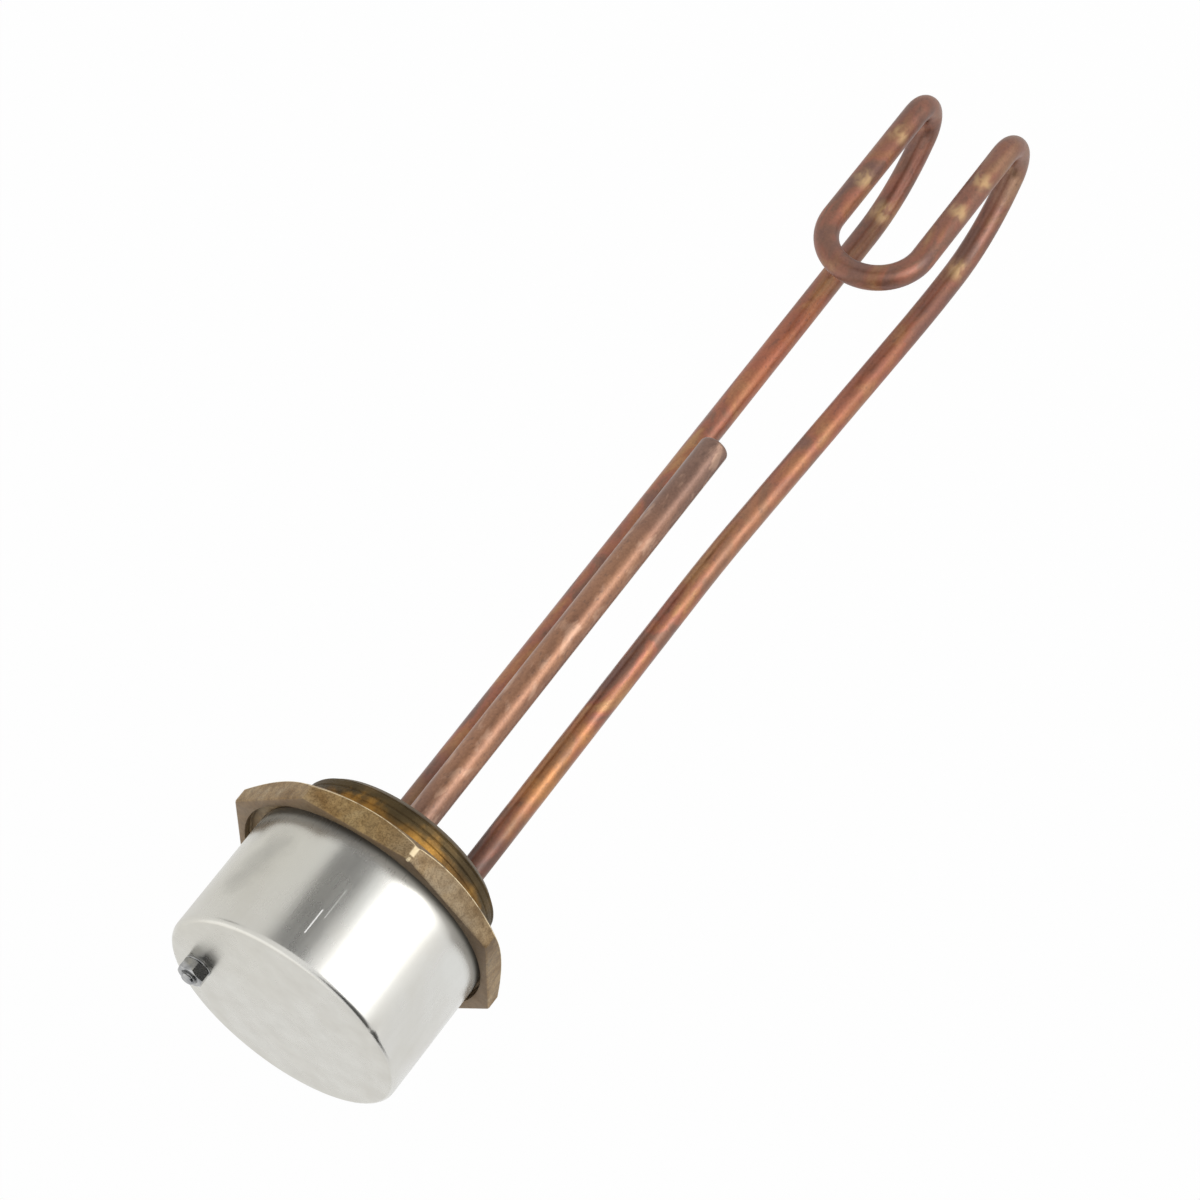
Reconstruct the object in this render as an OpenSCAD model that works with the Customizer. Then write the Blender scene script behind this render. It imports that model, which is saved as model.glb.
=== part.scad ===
// Screw plug immersion heater: brass thread boss, folded copper element, thermostat pocket, terminal cover.
// Millimetres. Z = 0 is the sealing face of the flange, +Z runs to the cover, X runs from leg to leg.

/* [Boss] */
// spanner size across the octagon's flats
flange_af = 86.8; // [80:0.1:95]
// thickness of the flange
flange_t = 7.7; // [6:0.1:12]
// turn of the octagon's first corner from X
flange_turn = 19.5; // [0:0.5:45]
// height of the corner chamfer on the sealing side
flange_chamfer = 2.8; // [1:0.1:4]
// outside diameter of the parallel pipe thread
thread_d = 65.71; // [60:0.01:70]
// length of the threaded spigot
thread_len = 13.2; // [11:0.1:20]
// length of the lead chamfer at the end of the thread
thread_lead = 2; // [0.5:0.1:3]
// recess in the flange that takes the cover
recess_d = 82; // [80.5:0.5:84]
// depth of that recess
recess_depth = 3; // [2:0.1:4]
// well inside the boss, round the terminals
well_d = 53; // [51:0.5:56]
// thickness of the web that the tubes pass through
web_t = 5.5; // [4:0.1:6]
// recess in the wet end of the spigot
wet_d = 56; // [52:0.5:58]
// depth of the wet recess
wet_depth = 1.5; // [0.5:0.1:2.5]

/* [Element] */
// outside diameter of the copper sheath
tube_d = 8; // [6.5:0.1:9]
// wall of the copper sheath
tube_wall = 0.8; // [0.6:0.1:1.2]
// distance between the legs at the boss
leg_gap = 27.6; // [26:0.1:31]
// distance of the legs from the centre plane
leg_back = 16.5; // [12:0.1:17]
// sideways lean of the right leg at its far end
leg_lean = 4.7; // [1.5:0.1:7]
// angle of that lean
lean_turn = 2.3; // [1.8:0.1:3]
// radius of the bends into and out of the lean
lean_r = 700; // [300:10:900]
// sealing face to the centre line at the tip
element_len = 328.3; // [260:0.1:420]
// radius of the slow bend that starts the hook
slow_r = 56; // [40:0.5:65]
// angle of the slow bend
slow_turn = 36; // [20:1:45]
// straight length between the slow bend and the tight bend
ease_len = 3; // [1:0.1:6]
// radius of the tight bend over the tip
tight_r = 9.3; // [8:0.1:12]
// straight length of each return
return_len = 48.6; // [20:0.1:80]
// rise of the joint beads between the bends above the tube
bead_rise = 0.03; // [0.02:0.01:0.1]
// height of the sheath's mouth above the sealing face
mouth_z = 1.5; // [0:0.1:2.5]

/* [Thermostat pocket] */
// outside diameter of the pocket tube
pocket_d = 9.5; // [8.5:0.1:12]
// wall of the pocket tube
pocket_wall = 0.9; // [0.6:0.1:1.2]
// sealing face to the closed end
pocket_len = 180.3; // [140:0.1:215]
// distance of the pocket from the centre plane
pocket_y = 5.2; // [4:0.1:9]
// rounding of the closed end
pocket_round = 1.6; // [1:0.1:2.5]

/* [Thermostat] */
// width of the moulded head
head_w = 36; // [33:0.5:38]
// depth of the moulded head
head_d = 22; // [18:0.5:24]
// height of the moulded head
head_h = 23; // [18:0.5:27]
// rounding of the head's upright edges
head_round = 2; // [0.5:0.1:3]
// height of the joint between the head's base and its cap
head_joint = 14; // [10:0.5:16]
// diameter of the sensing rod
rod_d = 7.2; // [6:0.1:7.4]
// gap from the rod's end to the inside of the pocket
rod_end_gap = 17; // [5:1:40]
// diameter of the setting dial
dial_d = 12; // [9:0.5:14]
// height of the setting dial
dial_h = 3.2; // [2:0.1:5]
// diameter of the reset button
button_d = 6; // [4:0.1:7]
// height of the button above the head
button_rise = 2; // [1.6:0.1:3]

/* [Terminals] */
// diameter of the element's terminal pins
pin_d = 4; // [3:0.1:4.5]
// top of the terminal pins
pin_top = 17; // [14:0.5:22]
// direction of the earth screw from X
earth_turn = -9; // [-20:1:20]
// width of the terminal blocks
block_w = 8; // [7:0.1:9]
// spanner size of the pin nuts
pin_nut_af = 7; // [6:0.1:7.5]

/* [Cover] */
// outside diameter of the drawn cover
cover_d = 77.6; // [74:0.1:78.5]
// distance that the loose cover sits off the boss's centre
cover_off = 1; // [0:0.1:1.5]
// direction of that offset from X
cover_off_turn = -23; // [-90:1:90]
// outer end of the cover above the sealing face
cover_top = 48.6; // [44:0.1:60]
// thickness of the cover's sheet
cover_t = 1; // [0.8:0.1:1.2]
// outside rounding of the cover's end
cover_round = 1.2; // [1.2:0.1:4]
// distance of the cover's stud from the centre
stud_r = 27.8; // [25.5:0.1:28.5]
// direction of the stud from X
stud_turn = 179; // [160:0.5:185]
// diameter of the stud
stud_d = 5; // [4:0.1:5.4]
// length of stud past the cover's end
stud_out = 5.8; // [5:0.1:10]
// spanner size of the nuts on the stud
stud_nut_af = 8; // [7:0.1:8.5]
// turn of the cover's nut on its stud
nut_turn = 12; // [0:1:59]
// depth of the stud in the boss
stud_deep = 6; // [4:0.5:6.5]
// diameter of the cable's hole through the grommet
cable_d = 9; // [7:0.1:10]
// height of the cable hole above the sealing face
cable_z = 27; // [22:0.5:32]

/* [Hidden] */
$fn = 64;
bead_gap = bead_rise * 4;
floor_z = flange_t - recess_depth;
web_low = wet_depth - thread_len;
web_top = web_low + web_t;
thread_r = thread_d / 2;
thread_depth = thread_d * 0.0225;
corner_r = flange_af / 2 / cos(22.5);
tube_r = tube_d / 2;
bore_r = tube_r - tube_wall;
leg_x = leg_gap / 2;
far_x = leg_x + leg_lean;
u_r = (leg_x + far_x) / 2;
hook_rise = slow_r * sin(slow_turn) + ease_len * cos(slow_turn) + tight_r * (1 - sin(slow_turn));
hook_z = hook_rise - element_len;
lean_run = (leg_lean - 2 * lean_r * (1 - cos(lean_turn))) / sin(lean_turn);
lean_z = hook_z + 2 * lean_r * sin(lean_turn) + lean_run * cos(lean_turn);
seal_z = mouth_z - 5.5;
seal_top = mouth_z + 2.5;
strap_z = seal_top + 1;
strap_t = 1;
pin_low = seal_z - 30;
pocket_r = pocket_d / 2;
head_z = strap_z;
head_front = pocket_y - 8;
head_top = head_z + head_h;
rod_low = rod_end_gap + pocket_wall - pocket_len;
dial_x = head_w * 0.2;
dial_y = head_front + head_d / 2;
button_x = -head_w * 0.22;
block_z = strap_z + strap_t;
block_h = 8;
block_d = 7;
block_y = head_front - block_d / 2;
block_top = block_z + block_h;
cover_low = floor_z + 0.3;
cover_r = cover_d / 2;
earth_r = (well_d / 2 + cover_r - cover_t) / 2;
earth_x = earth_r * cos(earth_turn);
earth_y = earth_r * sin(earth_turn);
stud_x = stud_r * cos(stud_turn);
stud_y = stud_r * sin(stud_turn);
stud_top = cover_top + stud_out;
stud_low = floor_z - stud_deep;
nut_h = 4;
washer_r = stud_nut_af * 0.53;
washer_top = cover_top + 0.6;
lip_r = cable_d / 2 + 4.5;
neck_r = cable_d / 2 + 3;
lip_t = 1.8;

// the pieces that can be drawn, and the one to draw

// upright cylinder between two heights
module post(r, low, high) {
    translate([0, 0, low])
        cylinder(r = r, h = high - low);
}

// upright ring between two heights
module ring(r, hole, low, high) {
    difference() {
        post(r, low, high);
        post(hole, low - 1, high + 1);
    }
}

// hexagon nut between two heights, its corners eased on the upper side
module hex_nut(af, hole, low, high) {
    corner = af / 2 / cos(30);
    difference() {
        intersection() {
            translate([0, 0, low])
                cylinder(r = corner, h = high - low, $fn = 6);
            translate([0, 0, low])
                cylinder(r1 = corner + (high - low) * 1.6, r2 = af / 2 - 0.15, h = high - low);
        }
        post(hole, low - 1, high + 1);
    }
}

// children at both legs
module at_legs() {
    for (side = [-1, 1])
        translate([side * leg_x, -leg_back, 0])
            children();
}

// children at the cover's stud
module at_stud() {
    translate([stud_x, stud_y, 0])
        children();
}

// straight run of rod down from the origin, with a weld bead and the children at its end
module run_then(r, len, start = bead_gap) {
    post(r, bead_gap - len, -start);
    translate([0, 0, -len]) {
        sphere(r = r + bead_rise);
        children();
    }
}

// bend from straight down towards +Y, with any children turned and placed at its end
module bend_then(bend_r, r, turn) {
    short = bead_gap / bend_r * 180 / PI;
    translate([0, bend_r, 0])
        rotate([0, 90, 0])
            rotate([0, 0, short - 90])
                rotate_extrude(angle = turn - 2 * short)
                    translate([bend_r, 0])
                        circle(r = r);
    if ($children > 0)
        translate([0, bend_r * (1 - cos(turn)), -bend_r * sin(turn)])
            rotate([turn, 0, 0]) {
                sphere(r = r + bead_rise);
                children();
            }
}

// hook over the tip and straight return, with the children at its end
module hook_then(r) {
    bend_then(slow_r, r, slow_turn)
        run_then(r, ease_len)
            bend_then(tight_r, r, 180 - slow_turn)
                run_then(r, return_len)
                    children();
}

// whole folded rod of one radius, its ends at one height
module element_rod(r, top) {
    translate([-leg_x, -leg_back, top])
        run_then(r, top - hook_z, 0)
            hook_then(r)
                rotate([0, 0, -90])
                    bend_then(u_r, r, 180);
    translate([leg_x, -leg_back, top])
        run_then(r, top - lean_z, 0)
            rotate([0, 0, -90])
                bend_then(lean_r, r, lean_turn)
                    run_then(r, lean_run)
                        rotate([0, 0, 180])
                            bend_then(lean_r, r, lean_turn)
                                rotate([0, 0, -90])
                                    hook_then(r);
}

// cast brass boss with octagonal flange and threaded spigot
module boss() {
    color([0.62, 0.52, 0.34])
        difference() {
            union() {
                intersection() {
                    rotate([0, 0, flange_turn])
                        cylinder(r = corner_r, h = flange_t, $fn = 8);
                    cylinder(r1 = flange_af / 2 - 0.4,
                        r2 = flange_af / 2 - 0.4 + flange_t * (corner_r - flange_af / 2 + 0.4) / flange_chamfer,
                        h = flange_t);
                }
                post(thread_r, thread_lead - thread_len, 1);
                translate([0, 0, -thread_len])
                    cylinder(r1 = thread_r - thread_depth, r2 = thread_r, h = thread_lead);
            }
            post(recess_d / 2, floor_z, flange_t + 1);
            difference() {
                post(well_d / 2, web_top, floor_z + 1);
                at_stud()
                    post(stud_d, web_top - 1, floor_z);
            }
            post(wet_d / 2, -thread_len - 1, web_low);
            at_legs()
                post(tube_r, web_low - 1, web_top + 1);
            translate([0, pocket_y, 0])
                post(pocket_r, web_low - 1, web_top + 1);
            at_stud()
                post(stud_d / 2, stud_low, floor_z + 1);
            translate([earth_x, earth_y, 0])
                post(2, floor_z - 4, floor_z + 1);
        }
}

// folded copper tube of the heating element
module element_sheath() {
    color([0.6, 0.4, 0.3])
        difference() {
            element_rod(tube_r, mouth_z);
            element_rod(bore_r, mouth_z + 1);
        }
}

// packed insulating powder inside the sheath
module element_filling() {
    color([0.9, 0.88, 0.82])
        difference() {
            element_rod(bore_r, seal_z);
            at_legs()
                post(pin_d / 2, pin_low, seal_z + 1);
        }
}

// steel pins that carry the current into the legs
module cold_pins() {
    color([0.6, 0.6, 0.6])
        at_legs()
            post(pin_d / 2, pin_low, pin_top);
}

// plugs that seal the sheath's mouths
module end_seals() {
    color([0.85, 0.82, 0.74])
        at_legs()
            difference() {
                union() {
                    post(bore_r, seal_z, mouth_z);
                    post(tube_r + 0.6, mouth_z, seal_top);
                }
                post(pin_d / 2, seal_z - 1, seal_top + 1);
            }
}

// plain washers on the pins
module pin_washers() {
    color([0.75, 0.62, 0.35])
        at_legs()
            ring(pin_d / 2 + 2.4, pin_d / 2, seal_top, strap_z);
}

// nuts on the pins, one of them on top of the strap
module pin_nuts() {
    color([0.75, 0.62, 0.35])
        for (side = [-1, 1])
            translate([side * leg_x, -leg_back, side < 0 ? strap_t : 0])
                hex_nut(pin_nut_af, pin_d / 2, strap_z, strap_z + 3.2);
}

// brass strap from the left pin to the thermostat
module link_strap() {
    color([0.78, 0.64, 0.36])
        translate([-leg_x, 0, 0])
            difference() {
                translate([-3, -leg_back - 4, strap_z])
                    cube([6, head_front + leg_back + 4, strap_t]);
                translate([0, -leg_back, 0])
                    post(pin_d / 2, strap_z - 1, strap_z + strap_t + 1);
            }
}

// closed copper tube for the thermostat's rod
module thermostat_pocket() {
    color([0.6, 0.42, 0.32])
        translate([0, pocket_y, 0])
            difference() {
                union() {
                    post(pocket_r, pocket_round - pocket_len, head_z);
                    post(pocket_r - pocket_round, -pocket_len, 0);
                    translate([0, 0, pocket_round - pocket_len])
                        rotate_extrude()
                            translate([pocket_r - pocket_round, 0])
                                circle(r = pocket_round);
                }
                post(pocket_r - pocket_wall, pocket_wall - pocket_len, head_z + 1);
            }
}

// brass sensing rod inside the pocket
module thermostat_rod() {
    color([0.75, 0.62, 0.35])
        translate([0, pocket_y, 0])
            post(rod_d / 2, rod_low, head_z);
}

// block on the thermostat's footprint with round upright edges, drawn in by an inset
module head_block(inset, low, high) {
    half_w = head_w / 2 - inset;
    half_d = head_d / 2 - inset;
    translate([0, head_front + head_d / 2, low]) {
        translate([head_round - half_w, -half_d, 0])
            cube([2 * (half_w - head_round), 2 * half_d, high - low]);
        translate([-half_w, head_round - half_d, 0])
            cube([2 * half_w, 2 * (half_d - head_round), high - low]);
        for (x = [-1, 1], y = [-1, 1])
            translate([x * (half_w - head_round), y * (half_d - head_round), 0])
                cylinder(r = head_round, h = high - low);
    }
}

// moulded thermostat head
module thermostat_body() {
    color([0.16, 0.15, 0.15])
        difference() {
            union() {
                head_block(0, head_z, head_z + head_joint);
                head_block(0.5, head_z + head_joint - 1, head_z + head_joint + 1);
                head_block(0, head_z + head_joint + 0.6, head_top);
            }
            translate([dial_x, dial_y, 0])
                post(2.55, head_top - 6.5, head_top + 1);
            translate([button_x, dial_y, 0])
                post(button_d / 2 + 0.05, head_top - 7.5, head_top + 1);
            translate([-head_w / 2 + 2, head_front - 1, head_top - 2])
                cube([head_w - 4, 4, 3]);
        }
}

// dial that sets the temperature
module thermostat_dial() {
    color([0.75, 0.1, 0.08])
        translate([dial_x, dial_y, 0])
            difference() {
                union() {
                    post(2.5, head_top - 6, head_top + 0.3 + dial_h / 2);
                    post(dial_d / 2, head_top + 0.3, head_top + 0.3 + dial_h);
                }
                translate([-dial_d / 2 - 1, -0.6, head_top + 0.3 + dial_h - 1.2])
                    cube([dial_d * 0.75 + 1, 1.2, 3]);
            }
}

// button that resets the safety cut-out
module reset_button() {
    color([0.85, 0.85, 0.82])
        translate([button_x, dial_y, 0])
            post(button_d / 2, head_top - 5, head_top + button_rise);
}

// brass wire clamps on the thermostat's front
module terminal_blocks() {
    color([0.78, 0.64, 0.36])
        for (side = [-1, 1])
            translate([side * leg_x, block_y, 0])
                difference() {
                    translate([-block_w / 2, -block_d / 2, block_z])
                        cube([block_w, block_d, block_h]);
                    post(1.5, block_z + 4, block_top + 1);
                    translate([0, 2, block_z + 4])
                        rotate([90, 0, 0])
                            cylinder(r = 1.8, h = block_d);
                }
}

// screws that clamp the wires
module terminal_screws() {
    color([0.7, 0.7, 0.7])
        for (side = [-1, 1])
            translate([side * leg_x, block_y, 0])
                difference() {
                    union() {
                        post(1.5, block_top - 2, block_top + 1);
                        post(2.6, block_top, block_top + 2);
                    }
                    translate([-4, -0.4, block_top + 1])
                        cube([8, 0.8, 2]);
                }
}

// screw for the earth wire
module earth_screw() {
    color([0.78, 0.64, 0.36])
        translate([earth_x, earth_y, 0])
            difference() {
                union() {
                    post(2, floor_z - 3.8, floor_z + 2);
                    post(3.8, floor_z + 1, floor_z + 3.4);
                }
                translate([-5, -0.5, floor_z + 2.4])
                    cube([10, 1, 2]);
            }
}

// washer under the earth screw
module earth_washer() {
    color([0.78, 0.64, 0.36])
        translate([earth_x, earth_y, 0])
            ring(4.6, 2, floor_z, floor_z + 1);
}

// stud that holds the cover
module cover_stud() {
    color([0.68, 0.68, 0.66])
        at_stud() {
            post(stud_d / 2, stud_low, stud_top - 0.6);
            translate([0, 0, stud_top - 0.6])
                cylinder(r1 = stud_d / 2, r2 = stud_d / 2 - 0.6, h = 0.6);
        }
}

// thin nut that locks the stud in the boss
module stud_locknut() {
    color([0.68, 0.68, 0.66])
        at_stud()
            hex_nut(stud_nut_af, stud_d / 2, floor_z, floor_z + 3);
}

// children at the centre of the cover, which sits loosely on its stud
module at_cover() {
    translate([cover_off * cos(cover_off_turn), cover_off * sin(cover_off_turn), 0])
        children();
}

// round-edged solid of the cover, drawn in by one thickness
module cover_form(inset) {
    round_r = max(cover_round - inset, 0.1);
    flat_r = cover_r - inset - round_r;
    shoulder_z = cover_top - inset - round_r;
    post(cover_r - inset, cover_low - inset, shoulder_z);
    post(flat_r, cover_low, cover_top - inset);
    translate([0, 0, shoulder_z])
        rotate_extrude()
            translate([flat_r, 0])
                circle(r = round_r);
}

// drawn sheet cover over the terminals
module cover() {
    color([0.8, 0.8, 0.79])
        difference() {
            at_cover()
                difference() {
                    cover_form(0);
                    cover_form(cover_t);
                    translate([0, 0, cable_z])
                        rotate([90, 0, 0])
                            cylinder(r = neck_r, h = cover_r + 1);
                }
            at_stud()
                post(stud_d / 2 + 0.3, cover_top - 5, cover_top + 1);
        }
}

// washer under the cover's nut
module cover_washer() {
    color([0.68, 0.68, 0.66])
        at_stud()
            ring(washer_r, stud_d / 2 + 0.3, cover_top, washer_top);
}

// nut on the cover's stud
module cover_nut() {
    color([0.68, 0.68, 0.66])
        at_stud()
            rotate([0, 0, nut_turn])
                hex_nut(stud_nut_af, stud_d / 2 + 0.05, washer_top, washer_top + nut_h);
}

// ring that follows the cover's wall, as high as the grommet
module wall_ring(outer, inner) {
    ring(outer, inner, cable_z - lip_r - 1, cable_z + lip_r + 1);
}

// round bar along the cable's way through the cover
module cable_bar(r) {
    translate([0, 0, cable_z])
        rotate([90, 0, 0])
            cylinder(r = r, h = cover_r + 5);
}

// rubber grommet in the cover's cable hole
module cable_grommet() {
    color([0.08, 0.08, 0.08])
        at_cover()
            difference() {
                union() {
                    intersection() {
                        cable_bar(lip_r);
                        union() {
                            wall_ring(cover_r + lip_t, cover_r);
                            wall_ring(cover_r - cover_t, cover_r - cover_t - lip_t);
                        }
                    }
                    intersection() {
                        cable_bar(neck_r);
                        wall_ring(cover_r + lip_t / 2, cover_r - cover_t - lip_t / 2);
                    }
                }
                cable_bar(cable_d / 2);
            }
}

boss();
element_sheath();
element_filling();
cold_pins();
end_seals();
pin_washers();
pin_nuts();
link_strap();
thermostat_pocket();
thermostat_rod();
thermostat_body();
thermostat_dial();
reset_button();
terminal_blocks();
terminal_screws();
earth_screw();
earth_washer();
cover_stud();
stud_locknut();
cover();
cover_washer();
cover_nut();
cable_grommet();
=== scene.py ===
import math

import bmesh
import bpy
from mathutils import Matrix, Vector


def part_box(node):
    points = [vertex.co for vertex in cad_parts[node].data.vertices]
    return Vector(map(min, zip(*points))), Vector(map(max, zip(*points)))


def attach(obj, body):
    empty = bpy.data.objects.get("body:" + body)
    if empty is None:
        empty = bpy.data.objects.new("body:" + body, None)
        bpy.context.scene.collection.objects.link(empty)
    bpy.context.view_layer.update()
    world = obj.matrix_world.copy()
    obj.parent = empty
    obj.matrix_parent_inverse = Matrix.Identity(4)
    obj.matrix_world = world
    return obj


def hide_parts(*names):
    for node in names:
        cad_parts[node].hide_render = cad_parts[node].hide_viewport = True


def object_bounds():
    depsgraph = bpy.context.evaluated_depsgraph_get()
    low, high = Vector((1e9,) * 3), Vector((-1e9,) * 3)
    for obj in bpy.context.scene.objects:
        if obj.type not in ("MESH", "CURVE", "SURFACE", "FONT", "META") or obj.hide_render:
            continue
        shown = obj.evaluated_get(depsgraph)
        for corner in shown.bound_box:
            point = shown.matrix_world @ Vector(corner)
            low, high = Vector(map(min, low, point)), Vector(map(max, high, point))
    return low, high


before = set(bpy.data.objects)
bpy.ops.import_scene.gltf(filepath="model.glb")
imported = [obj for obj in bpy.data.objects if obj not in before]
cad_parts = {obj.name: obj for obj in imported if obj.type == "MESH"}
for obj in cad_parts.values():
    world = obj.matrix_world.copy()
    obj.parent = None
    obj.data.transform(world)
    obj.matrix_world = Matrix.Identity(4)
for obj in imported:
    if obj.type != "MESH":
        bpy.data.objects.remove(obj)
cad_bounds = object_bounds()

# Sizes in millimetres and angles in radians: Z = 0 is the sealing face, +Z runs to the cover
MM = 0.001


def node_box(name):
    """Lowest and highest corner of a CAD node in millimetres."""
    low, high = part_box(name)
    return low / MM, high / MM


# Boss: octagonal flange, recess for the cover, well, wet side and pipe thread
FLANGE_SIDES = 8
FLANGE_AF = 86.8
FLANGE_TURN = math.radians(19.5)
FLANGE_CHAMFER = 2.8
CHAMFER_INSET = 0.4
CHAMFER_R = FLANGE_AF / 2 - CHAMFER_INSET
CORNER_R = FLANGE_AF / 2 / math.cos(math.pi / FLANGE_SIDES)
CORNER_ROUND = 0.7
SEAL_EASE = 0.3
SEAL_LIFT = 0.05
TOP_EASE = 0.7
TOP_EASE_MID = 0.2
WORN_CORNER = FLANGE_TURN + math.radians(45)
WORN_SPAN = 0.3
RECESS_R = 41
RECESS_DEPTH = 3
RECESS_EASE = 0.35
RECESS_EASE_MID = 0.1
RECESS_FILLET = 0.6
WELL_R = 26.5
WELL_EASE = 0.4
WELL_FILLET = 0.6
LUG_R = 5
WET_R = 28
WET_DEPTH = 1.5
WET_FILLET = 0.8
WEB_T = 5.5
LIP_EASE = 0.3
THREAD_R = 32.855
THREAD_PITCH = 25.4 / 11
THREAD_DEPTH = 0.25
THREAD_ROOT = THREAD_R - THREAD_DEPTH
THREAD_LEAD = 2
LEAD_SLOPE = 1.1
LEAD_STEP = 0.1
THREAD_RELIEF = 6.2
RELIEF_EASE = 0.4
RELIEF_FILLET = 0.5
THREAD_FLANK = 0.4
# Edge over the chamfer: cut of the worn corner, inset, lift off the chamfer, least height and wear, where a
# wear of 0.9 paints a bare edge line that is also a painted highlight
CHAMFER_EDGE = (
    (0.6, 0.3, -0.2, 0.1, 0.0), (0.55, 0.08, -0.04, 0.14, 0.9), (0.5, 0.0, 0.1, 0.0, 0.9),
    (0.5, 0.0, 0.3, 0.0, 0.0),
)
# Run-out of the worn corner's cut: cut and height
WORN_RUNOUT = ((0.5, 4.2), (0.3, 6.2), (0.1, 6.7))
# Wear mark from -1, full painted shade in the recess, to 1, rubbed bare, which on the edges is also a
# painted highlight
TOP_EDGE_WEAR_AND_HIGHLIGHT = 0.14
RECESS_SHADE_CORNER = -0.7
RECESS_SHADE_SIDE = -0.3
# How far the painted shade reaches from the recess's wall, and where it ends
RECESS_SHADE_REACH = 4
RECESS_SHADE_END = 6

# Element: tube, lean of the right leg, bends and returns
TUBE_R = 4
LEG_LEAN = 4.7
LEAN_TURN = math.radians(2.3)
LEAN_R = 700
SLOW_R = 56
SLOW_TURN = math.radians(36)
EASE_LEN = 3
TIGHT_R = 9.3
RETURN_LEN = 48.6

# Pocket, cover with the knock on its rim, stud, nut and cable hole
POCKET_ROUND = 1.6
MOUTH_ROUND = 0.3
COVER_T = 1
COVER_ROUND = 1.8
FOOT_ROUND = 0.3
DENT_TURN = math.radians(30)
DENT_SIZE = 1.8
DENT_DEPTH = 0.36
DENT_INSET = 0.6
DENT_DROP = 0.8
DENT_FALL = 0.8
STUD_PITCH = 0.8
STUD_DEPTH = 0.61 * STUD_PITCH
STUD_POINT = 0.6
STUD_CLEARANCE = 0.3
STUD_NUT_AF = 8
NUT_FLATS = 6
STUD_NUT_TURN = math.radians(12)
NUT_CORNER = 0.12
NUT_FACE = 0.15
NUT_RISE = 0.11
NUT_CLEARANCE = 0.05
BORE_EASE_LOW = 0.3
BORE_EASE_HIGH = 0.35
WASHER_EASE = 0.1
WASHER_ROUND = 0.25
CABLE_HOLE_R = 7.5

# How finely curves are divided
FACET_STEPS = 72
THREAD_LEVELS = 16
TUBE_SIDES = 48
POCKET_SIDES = 56
COVER_SIDES = 320
NUT_SIDES = 144
WASHER_SIDES = 72
STUD_SIDES = 36
STUD_LEVELS = 8
DRILL_SIDES = 64
ROUNDING_STEPS = 8
WASHER_STEPS = 4
# Lengths between rings in millimetres
RUN_STEP = 6
SLOW_STEP = 2
TIGHT_STEP = 0.7
U_STEP = 1.2
LEAN_STEP = 6
POCKET_STEP = 8
COVER_STEP = 1.6
# Radius taken as zero
ON_AXIS = 1e-6

# Sizes and places read from the CAD nodes
boss_low, boss_high = node_box("boss")
FLANGE_T = boss_high.z
SPIGOT_Z = boss_low.z
RECESS_Z = FLANGE_T - RECESS_DEPTH
WEB_LOW = SPIGOT_Z + WET_DEPTH
WEB_TOP = WEB_LOW + WEB_T

sheath_low, sheath_high = node_box("element_sheath")
pin_low, pin_high = node_box("cold_pins")
MOUTH_Z = sheath_high.z
LEG_Y = (pin_low.y + pin_high.y) / 2
LEG_X = pin_high.x - (pin_high.y - pin_low.y) / 2

pocket_low, pocket_high = node_box("thermostat_pocket")
POCKET_R = (pocket_high.x - pocket_low.x) / 2
POCKET_AT = (pocket_low + pocket_high) / 2

cover_low, cover_high = node_box("cover")
COVER_R = (cover_high.x - cover_low.x) / 2
COVER_AT = (cover_low + cover_high) / 2

stud_low, stud_high = node_box("cover_stud")
STUD_R = (stud_high.x - stud_low.x) / 2
STUD_ROOT = STUD_R - STUD_DEPTH
STUD_AT = (stud_low + stud_high) / 2
nut_low, nut_high = node_box("cover_nut")
washer_low, washer_high = node_box("cover_washer")
CABLE_Z = sum(v.z for v in node_box("cable_grommet")) / 2


# Mesh helpers
def full_turn(count, start=0.0):
    """Angles that go once round."""
    return [start + math.tau * i / count for i in range(count)]


def ring(radius, z, angles):
    """Points round Z, with radius and height as numbers or as functions of the angle."""
    out = radius if callable(radius) else lambda a: radius
    up = z if callable(z) else lambda a: z
    return [(out(a) * math.cos(a), out(a) * math.sin(a), up(a)) for a in angles]


def skin(rings, closed=False):
    """Points and faces of a skin over rings. A ring of one point is a pole."""
    points = []
    faces = []
    starts = []
    for one in rings:
        starts.append(len(points))
        points += one
    pairs = list(zip(range(len(rings)), range(1, len(rings))))
    if closed:
        pairs.append((len(rings) - 1, 0))
    for a, b in pairs:
        count = max(len(rings[a]), len(rings[b]))
        for i in range(count):
            j = (i + 1) % count
            face = [starts[a] + i % len(rings[a]), starts[a] + j % len(rings[a])]
            face += [starts[b] + j % len(rings[b]), starts[b] + i % len(rings[b])]
            faces.append(list(dict.fromkeys(face)))
    return points, faces


def eased(corners, steps, closed=False):
    """Outline of (r, z, rounding) corners with each corner rounded by an arc."""
    path = []
    last = len(corners) - 1
    for k, (r, z, rounding) in enumerate(corners):
        here = Vector((r, z))
        if rounding == 0 or (not closed and k in (0, last)):
            path.append(here)
            continue
        before = (Vector(corners[k - 1][:2]) - here).normalized()
        after = (Vector(corners[(k + 1) % len(corners)][:2]) - here).normalized()
        half = before.angle(after) / 2
        centre = here + (before + after).normalized() * (rounding / math.sin(half))
        start = here + before * (rounding / math.tan(half)) - centre
        end = here + after * (rounding / math.tan(half)) - centre
        turn = start.angle_signed(end)
        for i in range(steps + 1):
            path.append(centre + Matrix.Rotation(-turn * i / steps, 2) @ start)
    return path


def dense(path, step):
    """The same outline with points added on its long stretches."""
    out = [path[0]]
    for a, b in zip(path, path[1:]):
        count = max(1, round((b - a).length / step))
        out += [a.lerp(b, i / count) for i in range(1, count + 1)]
    return out


def lathe(path, count):
    """Rings of an outline turned round Z."""
    angles = full_turn(count)
    return [[(0, 0, p.y)] if p.x < ON_AXIS else ring(p.x, p.y, angles) for p in path]


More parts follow.
